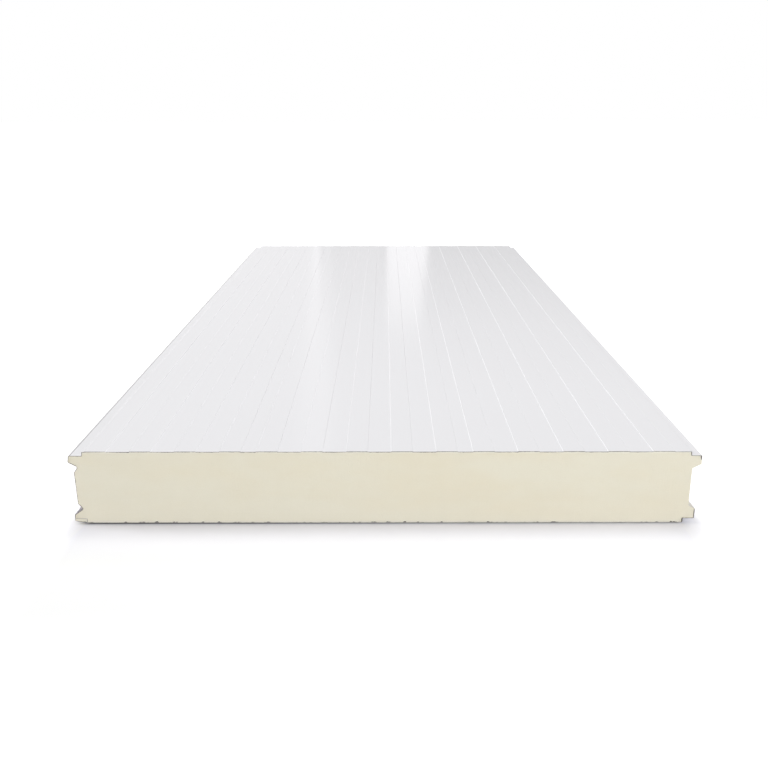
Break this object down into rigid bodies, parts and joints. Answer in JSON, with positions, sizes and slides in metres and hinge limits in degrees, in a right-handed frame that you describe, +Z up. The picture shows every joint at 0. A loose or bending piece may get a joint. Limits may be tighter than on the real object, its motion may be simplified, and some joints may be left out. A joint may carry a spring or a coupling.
{
  "type": "insulated sandwich panel",
  "caption": "Flat rectangular wall or cold-room panel: rigid foam core between two thin white steel facings, banded on top, with stepped interlocking long edges.",
  "frame": {"origin": "middle of the underside of the lower facing, which lies on the floor", "axes": "+Y along the panel's length (either cut end may be the front), +Z up through its thickness to the banded upper facing, -X towards the tongue edge, +X towards the recessed edge"},
  "size_m": [0.9999, 2.5, 0.12],
  "materials": {
    "foam": "rigid polyurethane foam, cream yellow, sawn at the two ends",
    "lacquered_steel": "glossy white coil coating on thin steel, with bare cut edges"
  },
  "bodies": {
    "root": {"foam_core": "foam", "upper_facing": "lacquered_steel", "lower_facing": "lacquered_steel"}
  },
  "joints": []
}
